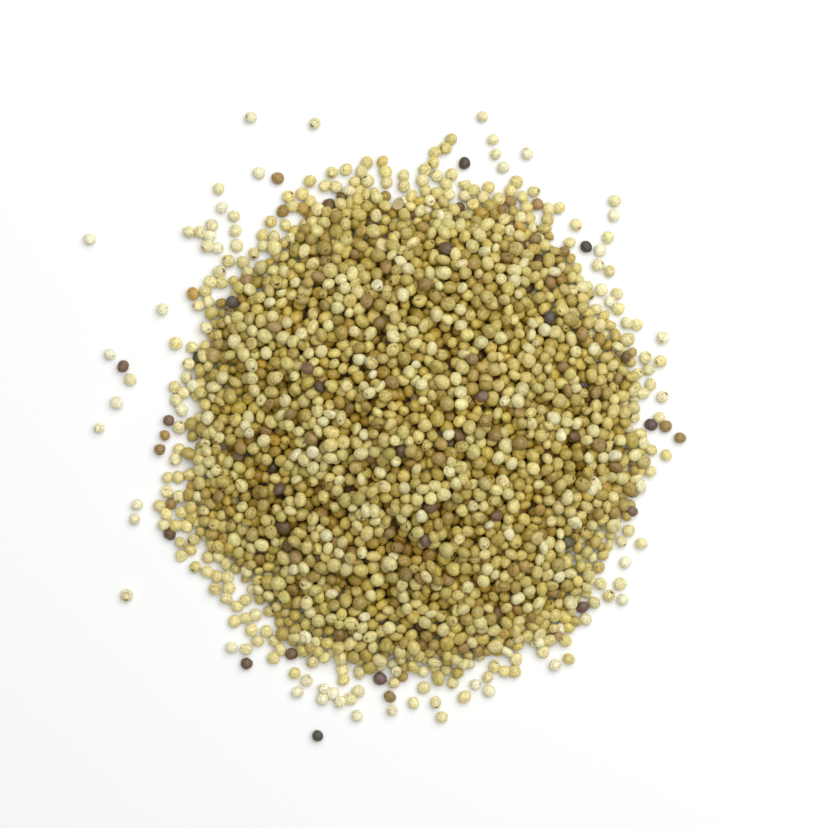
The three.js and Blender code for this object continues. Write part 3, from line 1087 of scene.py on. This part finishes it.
def heap_pieces(rng, apart):
    heap, on_floor = heap_grains(rng, apart)
    shares = np.array([kind.share for kind in KINDS.values()])
    names = rng.choice(list(KINDS), len(heap), p=shares / shares.sum())
    x, y, _ = heap.place.T
    outward = np.hypot(x, y) / edge_radius(np.arctan2(y, x))
    faded = np.clip((outward - FADED_FROM) / FADED_STEP, 0, 1)[:, None]
    names = np.where(outward > 1, [PALER_KINDS.get(name, name) for name in names], names)
    shown = shown_shares(heap)
    detail = np.where(shown > FINE_SHOWN, FINE, np.where(shown > MEDIUM_SHOWN, MEDIUM, COARSE))
    beneath = np.arange(len(heap)) < on_floor
    detail[beneath & (detail == COARSE)] = FLOOR_DETAIL
    # Painted shade: grains lying deeper than those that show near them are tinted dark and
    # yellow, for the shadow between them.
    deep = np.clip((depths(heap, shown) - DEEP_FROM) / DEEP_STEP, 0, DEEP_MOST)[:, None]
    painted_shade = np.where(beneath[:, None], 1, PAINTED_SHADE_TINT**deep)
    tints = kind_tints(rng, names) * FADED**faded * painted_shade
    for kind in KINDS:
        parts = []
        for level in MAP_SHARES:
            chosen = (names == kind) & (detail == level)
            parts.append(grains_mesh(rng, heap.only(chosen), tints[chosen], level))
        piece = joined_mesh(f"heap_{kind}_grains", parts)
        dress(piece, kind_material(kind), ["millet_heap"])
    dress(core_piece(), core_material(), ["millet_heap"])


def build():
    rng = np.random.default_rng(SEED)
    clumps = {node: clump_places(*clump) for node, clump in CLUMPS.items()}
    strays = {kind: [node_grain(node) for node in stray_nodes(kind)] for kind in STRAY_KINDS}
    apart = [place for places in clumps.values() for place in places]
    apart += [place for grains in strays.values() for place, _, _ in grains]
    heap_pieces(rng, apart)

    first = FIRST_GRAIN_APART + 1
    for node, places in clumps.items():
        grains = lying_grains(rng, np.array(places), *numbered_sizes(first, len(places)))
        first += len(places)
        tints = kind_tints(rng, rng.choice(STRAY_KINDS["pale"], len(grains))) * FADED
        part = grains_mesh(rng, grains, tints, FINE, on_floor=True)
        piece = joined_mesh(f"{node}_grains", [part])
        dress(piece, kind_material("cream"), [node])

    for kind, found in strays.items():
        grains = lying_grains(rng, *(np.array(values) for values in zip(*found)))
        looks = STRAY_KINDS[kind]
        tints = kind_tints(rng, rng.choice(looks, len(grains)))
        tints = tints * (FADED if kind == "pale" else 1)
        part = grains_mesh(rng, grains, tints, FINE, on_floor=True)
        piece = joined_mesh(f"stray_{kind}_grains", [part])
        dress(piece, kind_material(looks[0]), stray_nodes(kind))


# ---------------------------------------------------------------------------------------------
# The floor, the light and the camera. A pixel of the photograph is this many millimetres.

PHOTO_SIDE = 828
PHOTO_SCALE = 0.15
PHOTO_ORIGIN = (414.5, 433.8)
CAMERA_HEIGHT = 0.375
FLOOR_SIDE = 4.0
FLOOR_DROP = 0.00002
FLOOR_COLOUR = (0.93, 0.94, 0.95, 1)
FLOOR_ROUGHNESS = 0.9
FLOOR_GLOSS = 0.1
WORLD_COLOUR = (1.0, 0.985, 0.95, 1)
WORLD_STRENGTH = 0.29
LAMP_PLACE = (0.14, 0.16, 0.50)
LAMP_SIZE = 0.70
LAMP_ENERGY = 3.6
CLIP = (0.01, 10)


def make_floor():
    half = FLOOR_SIDE / 2
    corners = [(-half, -half, 0), (half, -half, 0), (half, half, 0), (-half, half, 0)]
    mesh = bpy.data.meshes.new("floor")
    mesh.from_pydata(corners, [], [(0, 1, 2, 3)])
    floor = new_object("floor", mesh)
    floor.location.z = -FLOOR_DROP
    material = bpy.data.materials.new("pale_floor")
    material.use_nodes = True
    shader = material.node_tree.nodes["Principled BSDF"]
    shader.inputs["Base Color"].default_value = FLOOR_COLOUR
    shader.inputs["Roughness"].default_value = FLOOR_ROUGHNESS
    shader.inputs["Specular IOR Level"].default_value = FLOOR_GLOSS
    mesh.materials.append(material)


def make_light():
    world = bpy.data.worlds.new("studio")
    world.use_nodes = True
    background = world.node_tree.nodes["Background"]
    background.inputs["Color"].default_value = WORLD_COLOUR
    background.inputs["Strength"].default_value = WORLD_STRENGTH
    bpy.context.scene.world = world
    light = bpy.data.lights.new("overhead", "AREA")
    light.shape = "DISK"
    light.size = LAMP_SIZE
    light.energy = LAMP_ENERGY
    lamp = new_object("overhead", light)
    lamp.location = LAMP_PLACE
    lamp.rotation_euler = (-lamp.location).to_track_quat("-Z", "Y").to_euler()


def make_camera():
    data = bpy.data.cameras.new("photo_view")
    camera = new_object("photo_view", data)
    middle = PHOTO_SIDE / 2
    x = (middle - PHOTO_ORIGIN[0]) * PHOTO_SCALE * MM
    y = (PHOTO_ORIGIN[1] - middle) * PHOTO_SCALE * MM
    camera.location = (x, y, CAMERA_HEIGHT)
    data.lens = data.sensor_width * CAMERA_HEIGHT / (PHOTO_SIDE * PHOTO_SCALE * MM)
    data.clip_start, data.clip_end = CLIP
    bpy.context.scene.camera = camera


make_camera()
make_floor()
make_light()
build()

scene = bpy.context.scene
scene.view_settings.view_transform = "Standard"
scene.view_settings.look = "None"
scene.cycles.use_denoising = True
